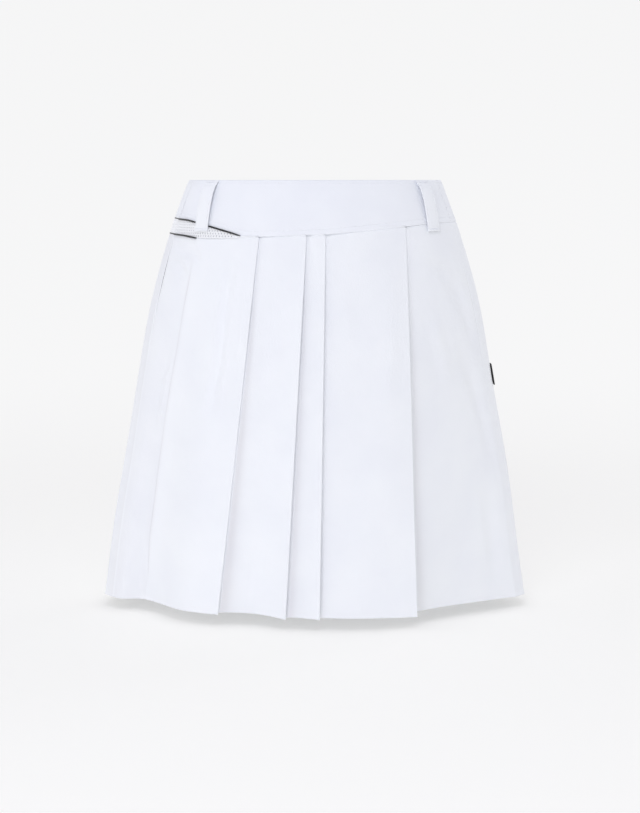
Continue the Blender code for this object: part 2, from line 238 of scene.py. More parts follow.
def make_bowl():
    bm = bmesh.new()
    corners = [bm.verts.new((0, 0, FLOOR * MM))]
    for turn in np.linspace(0, math.pi / 2, 20):
        out = BOWL_FLAT + (BOWL_OUT - BOWL_FLAT) * math.sin(turn)
        up = BOWL_UP * (1 - math.cos(turn))
        corners.append(bm.verts.new((out * MM, 0, (FLOOR + up) * MM)))
    edges = [bm.edges.new(pair) for pair in zip(corners, corners[1:])]
    bmesh.ops.spin(
        bm, geom=corners + edges, cent=(0, 0, 0), axis=(0, 0, 1),
        angle=2 * math.pi, steps=64, use_merge=True,
    )
    bmesh.ops.remove_doubles(bm, verts=bm.verts[:], dist=1e-5)
    bmesh.ops.recalc_face_normals(bm, faces=bm.faces[:])
    mesh = bpy.data.meshes.new("bowl")
    bm.to_mesh(mesh)
    bm.free()
    mesh.shade_smooth()
    bowl = bpy.data.objects.new("bowl", mesh)
    bpy.context.scene.collection.objects.link(bowl)
    material, tree, output = new_material("studio paper")
    place = add(tree, "ShaderNodeTexCoord")
    out = add(tree, "ShaderNodeVectorMath", {0: place.outputs["Object"]}, operation="LENGTH")
    far = add(tree, "ShaderNodeMapRange", {
        "Value": out.outputs["Value"], "From Min": NEAR, "From Max": FAR,
    }, interpolation_type="SMOOTHSTEP")
    paper = add(tree, "ShaderNodeValToRGB", {"Fac": far.outputs["Result"]})
    paper.color_ramp.elements[0].color = linear(NEAR_PAPER)
    paper.color_ramp.elements[1].color = linear(FAR_PAPER)
    glow = add(tree, "ShaderNodeValToRGB", {"Fac": far.outputs["Result"]})
    glow.color_ramp.elements[0].color = linear(NEAR_GLOW)
    glow.color_ramp.elements[1].color = linear(FAR_GLOW)
    split = add(tree, "ShaderNodeSeparateXYZ", {"Vector": place.outputs["Object"]})
    front = add(tree, "ShaderNodeMapRange", {
        "Value": split.outputs["Y"], "From Min": FRONT_DARK, "From Max": FRONT_LIT, "To Min": FRONT_GLOW,
    }, interpolation_type="SMOOTHSTEP")
    shader = add(tree, "ShaderNodeBsdfPrincipled", {
        "Base Color": paper.outputs["Color"], "Roughness": 0.95, "Specular IOR Level": 0.05,
        "Emission Color": glow.outputs["Color"], "Emission Strength": front.outputs["Result"],
    })
    tree.links.new(shader.outputs["BSDF"], output.inputs["Surface"])
    mesh.materials.append(material)


make_bowl()
print("floor", FLOOR, "mm, wall", BOWL_OUT, "mm away")

# %% [markdown]
# ## The light
#
# The picture has very soft light that comes a little from the left: the white cloth stays nearly as
# bright as the paper, and only the right-hand side and the pleats' inner corners fall away. A softbox by
# the camera, one overhead and a weak one on the left give the direction, one behind lights the back, and
# a white sky does the rest. The lamps and the sky are a touch cool, which gives bleached white cloth its
# bluish look. The paper under them is a touch warm, so that it stays neutral.

# %% Lights
COOL_WHITE = "#F4F5FF"
SKY = 0.62
LIT = (0.0, 0.0, -0.2)      # m, the skirt's middle, which all lamps look at
LIGHTS = (
    # name, place in m, size in m, power in W
    ("front", (-0.8, -3.2, 0.7), 1.6, 28.5),
    ("left", (-3.0, -0.6, 0.4), 1.8, 3.0),
    ("top", (0.0, -2.2, 2.6), 1.8, 22.0),
    ("back", (2.2, 2.4, 1.3), 1.6, 9.0),
)


def make_lights():
    for name, place, size, power in LIGHTS:
        data = bpy.data.lights.new(name, "AREA")
        data.shape = "DISK"
        data.size = size
        data.energy = power
        data.color = linear(COOL_WHITE)[:3]
        light = bpy.data.objects.new(name, data)
        light.location = place
        away = np.array(place) - np.array(LIT)
        flat = math.hypot(away[0], away[1])
        light.rotation_euler = (math.atan2(flat, away[2]), 0, math.atan2(away[0], -away[1]))
        light.visible_camera = False
        bpy.context.scene.collection.objects.link(light)


make_lights()
world = bpy.data.worlds.new("white sky")
world.use_nodes = True
world.node_tree.nodes["Background"].inputs["Color"].default_value = linear(COOL_WHITE)
world.node_tree.nodes["Background"].inputs["Strength"].default_value = SKY
bpy.context.scene.world = world
bpy.context.scene.view_settings.view_transform = "Standard"
print("lights:", len(LIGHTS))

# %% [markdown]
# ## The body under the cloth
#
# The tables below repeat the solid's own sizes, because the scene can't read its source: the half width
# and depths of the skirt at six heights, the seams' heights, and the four knife pleats. A smooth curve
# runs through each column. Everything else in this lesson is placed from these numbers. The pleats open
# less here than the solid's do, because the picture's shade beside them is soft and narrow, and the hem is
# raised a little beside each one, which keeps its outline.

# %% Sizes of the skirt, in millimetres
HEM = -400.0
CLOTH = 1.0             # wall of the solid
FOLD_GAP = -0.3         # between a pressed pleat's layers: the cloth here is thinner than the solid's
HEM_FOLD_GAP = 0.0      # and at the hem
PLEATS_TOP = -50.0
BACK_BOW = 2.2          # how square the back's curve is: 2 is an ellipse
# Places across the skirt, from 0 at the middle to 1 at the side, and -1 on the left.
SIDE_SEAM = 0.955
TAPE_END = -0.49        # where the mesh wedge runs out
LOWER_PIPING_END = -0.785

# Half widths and depths at a height, and how square the front's curve is.
Level = namedtuple("Level", "height side front back bow corner")
LEVELS = (
    Level(0, 120.2, 87.0, 90.0, 2.00, 0.50),
    Level(-45, 137.0, 96.0, 101.0, 2.05, 0.56),
    Level(-100, 153.4, 106.5, 116.0, 2.15, 0.67),
    Level(-200, 172.8, 116.5, 131.0, 2.28, 0.82),
    Level(-300, 189.9, 122.5, 137.0, 2.37, 0.91),
    Level(-400, 204.5, 127.5, 140.0, 2.40, 0.95),
)
# Heights of the waistband's lower edge and the skirt's top edge, which part where the wedge lies.
Seam = namedtuple("Seam", "across band skirt")
SEAMS = (
    Seam(-1.00, -36.0, -50.2),
    Seam(-0.88, -37.4, -51.6),
    Seam(-0.79, -40.1, -53.6),
    Seam(-0.70, -43.2, -54.1),
    Seam(-0.57, -47.8, -53.8),
    Seam(-0.475, -51.6, -52.9),
    Seam(-0.40, -51.9, -52.3),
    Seam(0.07, -49.8, -50.1),
    Seam(0.56, -43.6, -43.9),
    Seam(0.74, -41.1, -41.4),
    Seam(1.00, -39.1, -39.4),
)
# A pleat's place at its top and at the hem. How far its edge stands out at the hem, the next panel steps
# back behind it, the cloth goes under it, and that panel's middle sinks.
Pleat = namedtuple("Pleat", "name top hem lift step under dish")
PLEATS = (
    Pleat("A", -50.7, -89.6, -9.0, 12.0, 22.0, 15.0),
    Pleat("B", -7.1, -27.2, 0.0, 6.5, 20.0, 3.0),
    Pleat("C", 10.3, 4.3, 1.0, 6.0, 11.0, 1.0),
    Pleat("D", 85.0, 94.9, 5.0, 13.0, 24.0, 17.0),
)
# Beside each pleat: how far the hem is raised, how wide the pleat's painted shade is at the top, how much
# wider it is at the hem, and how strong, from 0 to 1.
Beside = namedtuple("Beside", "raised wide wider shade")
BESIDE = (
    Beside(1.3, 2.0, 8.5, 0.32),
    Beside(0.8, 2.0, 6.5, 0.30),
    Beside(0.6, 1.5, 2.0, 0.24),
    Beside(1.6, 3.0, 5.0, 0.16),
)
NO_PLEAT = Beside(0.0, 1.0, 0.0, 0.0)       # on the left panel
# A soft fold's place at the top and at the hem, its depth there, and its reach to the left and the right.
Fold = namedtuple("Fold", "top hem depth left right")
FRONT_FOLDS = (Fold(-116.0, -163.0, 25.0, 30.0, 46.0),)
BACK_FOLDS = (
    Fold(-78.0, -118.0, 7.0, 46.0, 50.0),
    Fold(-12.0, -22.0, 4.5, 48.0, 44.0),
    Fold(30.0, 58.0, 6.0, 40.0, 50.0),
    Fold(96.0, 142.0, 7.5, 44.0, 38.0),
)


# %% Curves through the tables
def column(places, values, at):
    """A smooth curve through a table's column, held level past its ends."""
    places, values = np.array(places, float)[::-1], np.array(values, float)[::-1]
    slopes = np.gradient(values, places)
    at = np.clip(at, places[0], places[-1])
    i = np.clip(np.searchsorted(places, at, side="right") - 1, 0, len(places) - 2)
    run = places[i + 1] - places[i]
    t = (at - places[i]) / run
    return (
        values[i] * (2 * t**3 - 3 * t**2 + 1) + slopes[i] * run * (t**3 - 2 * t**2 + t)
        + values[i + 1] * (3 * t**2 - 2 * t**3) + slopes[i + 1] * run * (t**3 - t**2)
    )


def level(height):
    """The body's sizes at one height or at an array of heights."""
    heights = [row.height for row in LEVELS]
    height = np.asarray(height, float)
    return Level(height, *(
        column(heights, [getattr(row, name) for row in LEVELS], height) for name in Level._fields[1:]
    ))


def seam(across, name):
    """Height of the waistband's lower edge or of the skirt's top edge."""
    return np.interp(across, [row.across for row in SEAMS], [getattr(row, name) for row in SEAMS])


def down(height):
    """0 at the top of the pleats, 1 at the hem."""
    return np.clip((PLEATS_TOP - height) / (PLEATS_TOP - HEM), 0, 1)


def fold_depth(fold, x, height):
    """How far a soft fold sinks at a place. It starts from nothing at the top."""
    t = down(height)
    away = x - (fold.top + (fold.hem - fold.top) * t)
    share = np.minimum(np.abs(away) / np.where(away < 0, fold.left, fold.right), 1)
    return fold.depth * t**1.4 * np.cos(share * math.pi / 2) ** 2


def body(angle, height):
    """The body in plan: (x, depth) at an angle, 0 in front, 90 on the right, 180 behind."""
    at = level(height)
    turn = np.radians(angle)
    across = np.sin(turn)
    x = at.side * across
    front = at.front * (1 - np.abs(across) ** at.bow) ** at.corner
    back = -at.back * np.maximum(1 - np.abs(across) ** BACK_BOW, 0) ** 0.5
    back = back + sum(fold_depth(fold, x, height) for fold in BACK_FOLDS) * np.abs(back) / at.back
    return np.stack([x, np.where(np.cos(turn) > 0, front, back)], axis=-1)


def angle_of(across, back=False):
    """The angle, in degrees, of a place across the skirt's front or back."""
    angle = math.degrees(math.asin(across))
    return 180 - angle if back else angle


def sideways(path):
    """The outward direction in plan at each point of rows of (x, depth)."""
    run = np.gradient(path, axis=-2)
    side = np.stack([-run[..., 1], run[..., 0]], axis=-1)
    return side / np.linalg.norm(side, axis=-1, keepdims=True)


print("waist and hem, mm wide:", [round(2 * level(height).side.item()) for height in (0.0, HEM)])

# %% [markdown]
# ## The folded front, in plan
#
# The front is one cloth folded into four knife pleats that all open to the right. At any height its plan
# is a line: along a panel, round the pleat's edge, back under the panel, round again and out to the next
# panel. Each column of the cloth's grid is one place on that line, worked out for all heights at once.
# Beside its seam a panel comes forward to the waistband's face soon after the pleat.

# %% Plan of the panels and pleats
# Shares of the way across each panel. The left one's crowd together at its pressed line, and its middle
# column there follows the line, whose points are x and height.
PRESSED_SHARE = 0.295
PRESSED_LINE = (
    (-111, -50), (-114, -76), (-118, -102), (-124.5, -140), (-129, -166), (-134.5, -195), (-139, -221),
    (-147.5, -274), (-156, -337), (-161, -392), (-162, -400),
)
LEFT_SHARES = np.concatenate([
    np.linspace(0, 0.25, 16)[:-1], np.linspace(0.25, 0.283, 8)[:-1], np.linspace(0.283, 0.307, 21)[:-1],
    np.linspace(0.307, 0.34, 8)[:-1], np.linspace(0.34, 1, 40),
])
PANEL_SHARES = (
    LEFT_SHARES,
    np.linspace(0, 1, 26), np.linspace(0, 1, 16), np.linspace(0, 1, 44), np.linspace(0, 1, 64),
)
ARC_STEPS = 8
LAYER_SHARES = (0.2, 0.4, 0.6, 0.8, 1.0)    # along the cloth hidden in a pleat
OPENED = 2.4            # mm that a panel stands back behind its pleat a little way down
OPENED_AT = 0.2         # share of the way down at which it does
FLUSH_DOWN = 0.06       # share of the way down in which the panels leave the waistband's face
CURLED = 0.4            # mm that a pleat's edge curls outwards
CURLED_WIDE = 5.0


def pleat_x(pleat, height):
    """Where a pleat's edge is at a height."""
    return pleat.top + (pleat.hem - pleat.top) * down(height)


def spacing_at(height):
    """From the middle of one layer of a pleat to the middle of the next."""
    return CLOTH + FOLD_GAP + (HEM_FOLD_GAP - FOLD_GAP) * down(height)


def panel_ends(number, height):
    """Where a panel starts on the left and ends on the right."""
    side = SIDE_SEAM * level(height).side - 0.05
    left = pleat_x(PLEATS[number - 1], height) if number else -side
    right = pleat_x(PLEATS[number], height) if number < len(PLEATS) else side
    return left, right


def panel(number, x, height):
    """Outside of one panel, in plan."""
    at, t = level(height), down(height)
    left, right = panel_ends(number, height)
    along = (x - left) / (right - left)
    depth = at.front * (1 - np.minimum(np.abs(x / at.side), 1) ** at.bow) ** at.corner
    if number:
        before = PLEATS[number - 1]
        pressed = 2 * spacing_at(height) + 0.1
        flush = 1 + 3 * np.exp(-t / FLUSH_DOWN)
        opened = OPENED * np.minimum(t / OPENED_AT, 1)
        opened = pressed + opened + (before.step - pressed - OPENED) * t**2
        depth = depth - opened * np.clip(1 - along, 0, 1) ** flush
        depth = depth - before.dish * t**1.5 * 4 * along * (1 - along)
    if number < len(PLEATS):
        curled = np.clip(1 - (right - x) / CURLED_WIDE, 0, 1) ** 2
        depth = depth + PLEATS[number].lift * t * along + CURLED * curled
    depth = depth - sum(fold_depth(fold, x, height) for fold in FRONT_FOLDS)
    return np.stack([x, depth], axis=-1)


def panel_normal(number, x, height):
    """The outward direction of a panel, in plan."""
    run = panel(number, x + 0.5, height) - panel(number, x - 0.5, height)
    side = np.stack([-run[..., 1], run[..., 0]], axis=-1)
    return side / np.linalg.norm(side, axis=-1, keepdims=True)


def inside(number, x, height, deep):
    """A place a little behind a panel's outside."""
    return panel(number, x, height) - panel_normal(number, x, height) * np.asarray(deep)[..., None]


def arc(centre, start, turn, steps):
    """Points that turn round a centre, without the first."""
    points = []
    for share in np.arange(1, steps + 1) / steps:
        c, s = np.cos(turn * share), np.sin(turn * share)
        turned = np.stack([c * start[:, 0] - s * start[:, 1], s * start[:, 0] + c * start[:, 1]], axis=-1)
        points.append(centre + turned)
    return points


def pleat_layers(number, height):
    """The cloth's middle from a pleat's edge back under its panel, and out to the next panel."""
    spacing = spacing_at(height)
    radius = spacing / 2
    edge = pleat_x(PLEATS[number], height)
    out = edge - radius - CLOTH / 2
    under = PLEATS[number].under
    normal = panel_normal(number, out, height) * radius[:, None]
    first = inside(number, out, height, np.full_like(out, CLOTH / 2))
    points = arc(first - normal, normal, np.full_like(out, -math.pi), ARC_STEPS)
    for share in LAYER_SHARES:
        points.append(inside(number, out - under * share, height, CLOTH / 2 + spacing))
    normal = panel_normal(number, out - under, height)
    centre = points[-1] - normal * radius[:, None]
    goal = inside(number + 1, edge, height, np.full_like(out, CLOTH / 2))
    to_goal = goal - centre
    heading = np.arctan2(to_goal[:, 1], to_goal[:, 0])
    heading = heading + np.arcsin(radius / np.linalg.norm(to_goal, axis=-1))
    turn = (heading - np.arctan2(normal[:, 1], normal[:, 0]) - math.pi / 2) % (2 * math.pi)
    points += arc(centre, normal * radius[:, None], turn, ARC_STEPS)
    last = points[-1]
    points += [last + (goal - last) * share for share in LAYER_SHARES[:-1]]
    return points


print("pleats at the hem:", {pleat.name: pleat.hem for pleat in PLEATS})

# %% [markdown]
# ## The front's grid
#
# The places are gathered column by column, from the left side seam to the right. The left panel's columns
# bend with its pressed line, so that one of them runs down it. Each place gets its share of painted shade
# here too: a soft band darkened into the cloth's colour beside every pleat, which starts at nothing at the
# pleat's edge and widens downwards.

# %% Columns of the front
# The painted shade beside each pleat:
SHADE_STARTS = 2.5      # mm from a pleat's edge over which its shade starts
TOP_SHADE = 0.3         # share of a pleat's shade that shows at its top
SHADE_GROWS = 2.5       # and how fast it grows on the way down


def line_x(height):
    """Where the pressed line is at a height."""
    points = np.array(PRESSED_LINE, float)[::-1]
    return np.interp(height, points[:, 1], points[:, 0])


def beside_line(along, left, right, height):
    """Shares across the left panel, shifted so that one column runs down the pressed line. Its edges
    stay where they are, and the columns between shift in step."""
    shift = (line_x(height) - left) / (right - left) - PRESSED_SHARE
    return along + shift * min(along / 0.25, 1.0, (1 - along) / 0.66)


def front_plan(shares):
    """The front's cloth at shares of the way from its top seam to the hem, as places[row, column], each
    with its x, depth and height, and the painted shade of each place."""
    columns, painted_shades = [], []

    def heights_at(x):
        top = seam(x / level(PLEATS_TOP).side, "skirt")
        return top + (HEM - top) * shares

    for number, places_along in enumerate(PANEL_SHARES):
        top_left, top_right = panel_ends(number, PLEATS_TOP)
        for along in places_along:
            height = heights_at(top_left + (top_right - top_left) * along)
            left, right = panel_ends(number, height)
            if number < len(PLEATS):
                right = right - spacing_at(height) / 2 - CLOTH / 2
            if not number:
                along = beside_line(along, left, right, height)
            away = (right - left) * along
            place = inside(number, left + away, height, np.full_like(height, CLOTH / 2))
            beside = BESIDE[number - 1] if number else NO_PLEAT
            raised = height + beside.raised * (1 - along) * shares**3
            columns.append(np.column_stack([place, raised]))
            # The place's painted shade, in a band beside the pleat's edge.
            shade = beside.shade * np.clip(away / SHADE_STARTS, 0, 1)
            shade = shade * np.clip(TOP_SHADE + SHADE_GROWS * down(height), 0, 1)
            painted_shades.append(shade / (1 + (away / (beside.wide + beside.wider * down(height))) ** 4))
        if number < len(PLEATS):
            height = heights_at(PLEATS[number].top)
            layers = pleat_layers(number, height)
            columns += [np.column_stack([place, height]) for place in layers]
            painted_shades += [np.zeros_like(height)] * len(layers)
    return np.stack(columns, axis=1), np.stack(painted_shades, axis=1)


print("columns in the panels:", [len(shares) for shares in PANEL_SHARES])

# %% [markdown]
# ## Creases
#
# Real cloth is never as even as a formula. Each crease below is placed by its own points, x and height,
# with its own width and depth, fading at both ends. A negative depth stands proud. A soft one is a trough.
# A lip is a pressed line: its right side stands proud and falls away, and the cloth dips under it on the
# left. A slow sway of long waves keeps the panels from looking machined.

# %% Creases
# A crease's depth is its depth here times this scale, and fade is the share of its length at each end.
CREASE_SCALE = 1.4
Crease = namedtuple("Crease", "points width depth lip fade")
FRONT_CREASES = (
    Crease(((-132, -146), (-138, -176), (-143.5, -199), (-151, -248)), 5.0, -0.9, True, 0.35),
    Crease((
        (-72, -58), (-78, -82), (-81.6, -101), (-85.3, -128), (-86.3, -146), (-90, -170), (-93, -184),
        (-98, -236),
    ), 8.0, 3.0, False, 0.3),
    Crease(((-136, -61), (-126, -65), (-110, -72)), 5.0, 2.0, False, 0.4),
    Crease(((-136, -72), (-127, -79), (-118, -92)), 5.0, 1.6, False, 0.4),
    Crease(((-122, -60), (-112, -68), (-104, -80)), 5.0, 1.1, False, 0.4),
    Crease(((-60, -62), (-64, -110), (-72, -190)), 8.0, -0.6, False, 0.4),
    Crease(((-34, -70), (-44, -160), (-52, -240)), 12.0, 0.8, False, 0.4),
    Crease(((30, -62), (42, -110), (46, -170)), 16.0, 0.9, False, 0.4),
    Crease(((66, -66), (70, -150), (62, -250)), 14.0, -0.8, False, 0.4),
    Crease(((101, -74), (117, -83), (126, -96)), 9.0, 1.2, False, 0.4),
    Crease(((113, -66), (128, -93), (148, -130), (158, -170)), 13.0, 2.2, False, 0.35),
    Crease(((128, -138), (146, -178), (165, -230), (176, -285)), 13.0, 2.0, False, 0.35),
    Crease(((106, -110), (116, -150), (131, -206)), 10.0, -1.2, False, 0.4),
    Crease(((160, -270), (170, -330), (176, -392)), 12.0, 1.4, False, 0.35),
)
BACK_CREASES = (
    Crease(((-60, -60), (-70, -130), (-84, -220)), 11.0, 2.6, False, 0.35),
    Crease(((-130, -60), (-120, -72), (-98, -84)), 7.0, 2.2, False, 0.4),
    Crease(((-134, -150), (-146, -230), (-152, -330)), 10.0, 2.5, False, 0.35),
    Crease(((8, -66), (4, -150), (10, -230)), 12.0, 1.9, False, 0.4),
    Crease(((-30, -240), (-36, -300), (-48, -385)), 12.0, 2.0, False, 0.4),
    Crease(((64, -58), (78, -120), (92, -210)), 10.0, 2.8, False, 0.35),
    Crease(((104, -62), (122, -84), (136, -120)), 8.0, 2.3, False, 0.4),
    Crease(((126, -180), (134, -260), (150, -350)), 11.0, 2.4, False, 0.35),
)


def sunk(creases, x, height):
    """How far the creases sink at each place. They fade out beside the side seams, sooner on the left."""
    total = np.zeros_like(x)
    from_seam = SIDE_SEAM * level(height).side - np.abs(x)
    from_seam = np.clip(from_seam / np.where(x < 0, 5.0, 12.0), 0, 1)
    for crease in creases:
        points = np.array(crease.points, float)
        lengths = np.linalg.norm(np.diff(points, axis=0), axis=1)
        nearest = np.full_like(x, np.inf)
        passed = np.zeros_like(x)
        right = np.zeros_like(x)
        before = 0.0
        for (ax, az), (bx, bz), length in zip(points, points[1:], lengths):
            t = ((x - ax) * (bx - ax) + (height - az) * (bz - az)) / length**2
            t = np.clip(t, 0, 1)
            away = np.hypot(x - ax - (bx - ax) * t, height - az - (bz - az) * t)
            passed = np.where(away < nearest, before + t * length, passed)
            right = np.where(away < nearest, (bx - ax) * (height - az) - (bz - az) * (x - ax), right)
            nearest = np.minimum(away, nearest)
            before += length
        share = passed / before
        ends = np.clip(np.minimum(share, 1 - share) / crease.fade, 0, 1)
        side = np.clip(1 - nearest / crease.width, 0, 1)
        under = -0.35 * np.clip(1 - nearest / (0.25 * crease.width), 0, 1) ** 2
        shape = np.where(right > 0, side, under) if crease.lip else side**2 * (3 - 2 * side)
        total = total + CREASE_SCALE * crease.depth * shape * ends**2 * (3 - 2 * ends)
    return total * from_seam**2 * (3 - 2 * from_seam)


def sway(x, height):
    """Long uneven waves, in mm, growing towards the hem."""
    waves = (
        0.45 * np.sin(x / 17.0 + height / 61.0)
        + 0.35 * np.sin(x / 9.5 - height / 43.0 + 1.3)
        + 0.3 * np.sin(height / 27.0 + x / 34.0 + 0.4)
    )
    return waves * (0.25 + 0.75 * down(height))


def creased(places, creases):
    """Moves cloth along the body's outward direction by its creases and sway."""
    x, depth, height = places[..., 0], places[..., 1], places[..., 2]
    outward = np.stack([x / level(height).side ** 2, depth / level(height).front ** 2], axis=-1)
    outward /= np.maximum(np.linalg.norm(outward, axis=-1, keepdims=True), 1e-9)
    move = sway(x, height) - sunk(creases, x, height)
    result = places.copy()
    result[..., :2] += outward * move[..., None]
    return result


print("creases:", len(FRONT_CREASES), "in front,", len(BACK_CREASES), "behind")

# %% [markdown]
# ## The pressed line
#
# The crease that matters most is the long pressed line down the left panel, where the cloth turns to the
# side. There it laps over itself in a tiny fold, which is made by sliding the cloth back over the line:
# to the right of it the cloth stands proud, and to the left it dips under.
# The line and the strip to its left are also painted darker in the cloth's colour: painted shade.

# %% Fold along the pressed line
PRESSED_ENDS = (-66.0, -394.0)      # heights at which the fold has run out
PRESSED_FADE = 0.2      # share of its length over which it does, at each end
PRESSED_OVER = 2.2      # mm that sets how far the fold laps over
PRESSED_HIGH = 1.7      # mm that it stands proud
PRESSED_RIGHT = 17.0    # mm to the right over which it falls away
PRESSED_DIP = 0.4       # mm that the cloth dips on the left
PRESSED_LEFT = 6.0      # mm over which it does
# Painted shade: how dark the fold's slit is painted, and the strip left of it.
LINE_SHADE = 0.6
STRIP_SHADE = 0.09      # on the strip left of the line, at the hem


def lapped(places, painted_shades):
    """Folds the left panel over itself along its pressed line, and paints shade onto the line and the strip
    left of it."""
    run = np.linalg.norm(np.diff(places, axis=1), axis=2).cumsum(axis=1)
    run = np.hstack([np.zeros((len(places), 1)), run])
    run -= run[:, np.abs(LEFT_SHARES - PRESSED_SHARE).argmin()][:, None]
    height = places[..., 2]
    high, low = PRESSED_ENDS
    ends = np.clip(np.minimum(high - height, height - low) / (PRESSED_FADE * (high - low)), 0, 1)
    ends = ends**2 * (3 - 2 * ends)
    turned = np.clip((run + 1) / 2, 0, 1)
    turned = turned**2 * (3 - 2 * turned)
    proud = PRESSED_HIGH * turned * np.clip(1 - run / PRESSED_RIGHT, 0, 1) ** 1.3
    proud -= PRESSED_DIP * (1 - turned) * np.clip(1 + run / PRESSED_LEFT, 0, 1) ** 2
    over = PRESSED_OVER * run * np.exp((1 - run**2) / 2)
    outward = sideways(places[..., :2])
    ahead = np.stack([outward[..., 1], -outward[..., 0]], axis=-1)
    result = places.copy()
    result[..., :2] += (outward * proud[..., None] - ahead * over[..., None]) * ends[..., None]
    # Painted shade along the slit under the fold and on the strip to its left.
    line = LINE_SHADE * np.exp(-(((run + 1.2) / 1.9) ** 2)) * ends
    strip = STRIP_SHADE * down(height) * np.clip(-1 - run, 0, 1)
    return result, painted_shades + np.maximum(line, strip)


print("the fold runs from", PRESSED_ENDS[0], "to", PRESSED_ENDS[1], "mm")

# %% [markdown]
# ## From a grid to cloth
#
# Every cloth piece starts as a flat bmesh grid with one corner for each place, and each corner is then
# sent to its place. The same step writes the UV map, in metres along and down the cloth, and the painted
# shade. A Solidify modifier gives the thin wall, and the finished piece rides on the part and replaces
# its solid.

# %% Grid and finish helpers
def cloth_grid(places, painted_shades=None):
    """A bmesh grid with its corners at places[row, column], in mm, their UV map in metres, and their
    painted shade."""
    rows, columns = places.shape[:2]
    bm = bmesh.new()
    bmesh.ops.create_grid(bm, x_segments=columns - 1, y_segments=rows - 1, size=1)
    uv = bm.loops.layers.uv.new("cloth")
    shade = bm.verts.layers.float.new("shade")
    world = places * (MM, -MM, MM)
    across = np.linalg.norm(np.diff(world, axis=1), axis=2).cumsum(axis=1)
    across = np.hstack([np.zeros((rows, 1)), across])
    across -= across[:, columns // 2][:, None]
    drop = np.linalg.norm(np.diff(world, axis=0), axis=2).cumsum(axis=0)
    drop = -np.vstack([np.zeros((1, columns)), drop])
    widest, longest = np.ptp(across, axis=1).max() / MM, -drop.min() / MM
    print(f"widest {widest:.1f} mm, longest {longest:.1f} mm")
    for vert in bm.verts:
        j = round((vert.co.x + 1) / 2 * (columns - 1))
        i = round((1 - vert.co.y) / 2 * (rows - 1))
        vert.co = world[i, j]
        if painted_shades is not None:
            vert[shade] = painted_shades[i, j]
        for loop in vert.link_loops:
            loop[uv].uv = (across[i, j], drop[i, j])
    return bm


def piece(bm, name, material, replaces=(), wall=0.0):
    """Makes the object, with its wall, its finish, its ride and what it stands for."""
    mesh = bpy.data.meshes.new(name)
    bm.to_mesh(mesh)
    bm.free()
    mesh.shade_smooth()
    mesh.materials.append(material)
    made = bpy.data.objects.new(name, mesh)
    bpy.context.scene.collection.objects.link(made)
    if wall:
        solidify = made.modifiers.new("wall", "SOLIDIFY")
        solidify.thickness = wall * MM
        solidify.offset = 0
    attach(made, "root")
    if replaces:
        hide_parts(*replaces)
    print(f"{name}: {len(mesh.polygons)} faces")
    return made


# %% [markdown]
# ## The hem and the rows down the skirt
#
# The hem is turned up 22 mm and blind-stitched, so outside it shows only as a soft rolled edge, but from
# below and from inside the second layer is there. The rows stand close together at the top seam, where
# the cloth curls in under the waistband.

# %% Rows down the skirt
TUCKED_IN = 1.0         # mm that the top row lies inside, behind the waistband
TUCKED_UP = 1.2
HEM_DEEP = 22.0         # mm of cloth turned up
HEM_ROUND = 0.33        # mm, the radius of the turn
HEM_STEPS = 4
HEM_ROWS = 4
ROWS = np.concatenate([
    np.linspace(0, 0.008, 6)[:-1], np.linspace(0.008, 0.99, 78), [0.9935, 0.9962, 0.998, 0.9992],
])


def turned_edges(shares):
    """Row shares, inward offsets and lifts for cloth tucked in behind its seam and turned up at its hem."""
    turn = np.linspace(0, math.pi, HEM_STEPS + 1)[1:-1]
    ups = np.linspace(0, HEM_DEEP, HEM_ROWS)
    flat = np.zeros(len(shares))
    share = np.concatenate([[0.0], shares, np.ones(len(turn)), 1 - ups / (PLEATS_TOP - HEM)])
    offset = np.concatenate([
        [TUCKED_IN], flat, HEM_ROUND * (1 - np.cos(turn)), np.full(HEM_ROWS, 2 * HEM_ROUND),
    ])
    lift = np.concatenate([[TUCKED_UP], flat, -HEM_ROUND * np.sin(turn), np.zeros(HEM_ROWS)])
    return share, offset, lift


def curl(places, shares, inset, lift):
    """Rounds the top edge in at the seam, flares the hem's rim and sets the turned rows inside."""
    from_top = shares * (PLEATS_TOP - HEM)
    from_hem = (1 - shares) * (PLEATS_TOP - HEM)
    rounded = np.where(inset > 0, 0, np.clip(1 - from_top / 1.5, 0, 1) ** 2 * 0.5)
    flare = np.where(from_top > 50, np.clip(1 - from_hem / 3.0, 0, 1) ** 2 * 0.35, 0)
    inset = inset + rounded - flare
    outward = sideways(places[..., :2])
    result = places.copy()
    result[..., :2] -= outward * inset[:, None, None]
    result[..., 2] += lift[:, None]
    return result


ROW_SHARES, ROW_INSETS, ROW_LIFTS = turned_edges(ROWS)
print("rows:", len(ROW_SHARES))

# %% [markdown]
# ## Seam edges and the two halves
#
# At a side seam both cloths turn in and run 8 mm into the skirt, where they are overlocked together. The
# seam pulls the cloth in a little, most near the left one's top, where it gapes and shows as a thin dark
# line, partly from the gap and partly from painted shade on the turned-in edges. The front is its panels
# and pleats with their creases and the pressed fold. The back is one panel.

# %% Skirt front and back
WALL = 0.5              # mm, the visible cloth
SEAM_TURN = 0.04        # degrees that a sewn edge stays clear of the side seam
GAPE = 0.6              # mm that each side of the left seam stands off at most
ALLOWANCE = (           # mm from the seam's line and mm into the skirt, for each of its places
    (0.03, 0.25), (0.04, 0.7), (0.04, 2.0), (0.04, 5.0), (0.04, 8.0),
)
# Painted shade on the back beside the left seam, fading away from it.
BACK_SHADE = 0.12       # behind the left seam
BACK_SHADE_WIDE = 20.0  # mm over which it fades


def soften(places, times):
    """Rounds a piece across its columns, with its side edges kept."""
    for _ in range(times):
        places[:, 1:-1] = (places[:, :-2] + 2 * places[:, 1:-1] + places[:, 2:]) / 4
    return places


